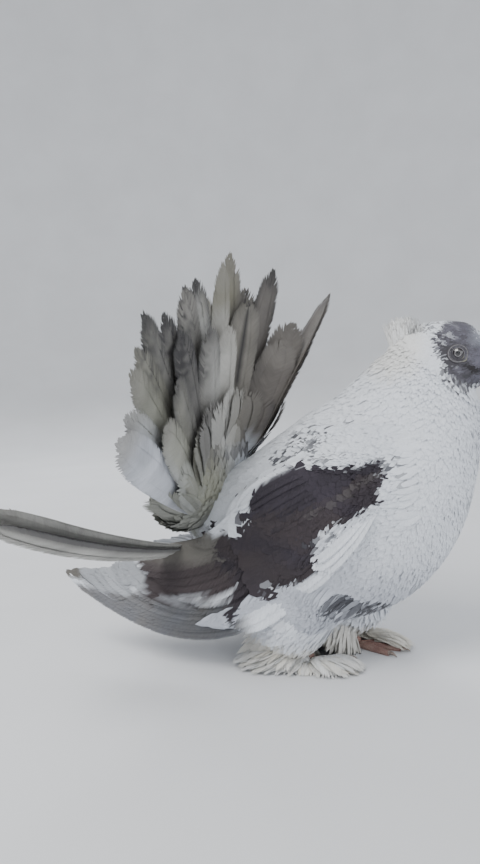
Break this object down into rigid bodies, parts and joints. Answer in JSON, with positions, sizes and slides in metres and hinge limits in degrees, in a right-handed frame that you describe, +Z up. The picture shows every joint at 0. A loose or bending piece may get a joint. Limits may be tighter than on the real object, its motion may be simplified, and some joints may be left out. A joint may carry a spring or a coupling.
{
  "type": "crested fantail pigeon",
  "caption": "Still life-size fantail pigeon standing on feathered feet, with a peaked crest, folded wings and a raised, spread tail.",
  "frame": {"origin": "middle of the bird's outline on the floor, at floor height", "axes": "+X the way the bill points, +Y the bird's left, +Z up"},
  "size_m": [0.322, 0.3798, 0.2824],
  "materials": {
    "plumage_white": "matt white feathers",
    "plumage_wing": "matt feathers, white with dark brown patches",
    "plumage_tail": "matt grey-beige tail feathers with dark tips",
    "skin": "scaly pinkish skin of shanks and toes",
    "bill": "satin horn",
    "claw": "satin horn",
    "eye": "wet gloss"
  },
  "bodies": {
    "root": {"bill_lower": "bill", "bill_upper": "bill", "claw_left_0": "claw", "claw_left_1": "claw", "claw_left_2": "claw", "claw_left_3": "claw", "claw_right_0": "claw", "claw_right_1": "claw", "claw_right_2": "claw", "claw_right_3": "claw", "crest": "plumage_white", "eye_left": "eye", "eye_right": "eye", "foot_left": "skin", "foot_right": "skin", "head": "plumage_white", "muff_left": "plumage_white", "muff_right": "plumage_white", "neck": "plumage_white", "tail_coverts_under": "plumage_white", "tail_coverts_upper": "plumage_white", "tail_fan": "plumage_tail", "thigh_left": "plumage_white", "thigh_right": "plumage_white", "torso": "plumage_white", "wing_left": "plumage_wing", "wing_right": "plumage_wing"}
  },
  "joints": []
}
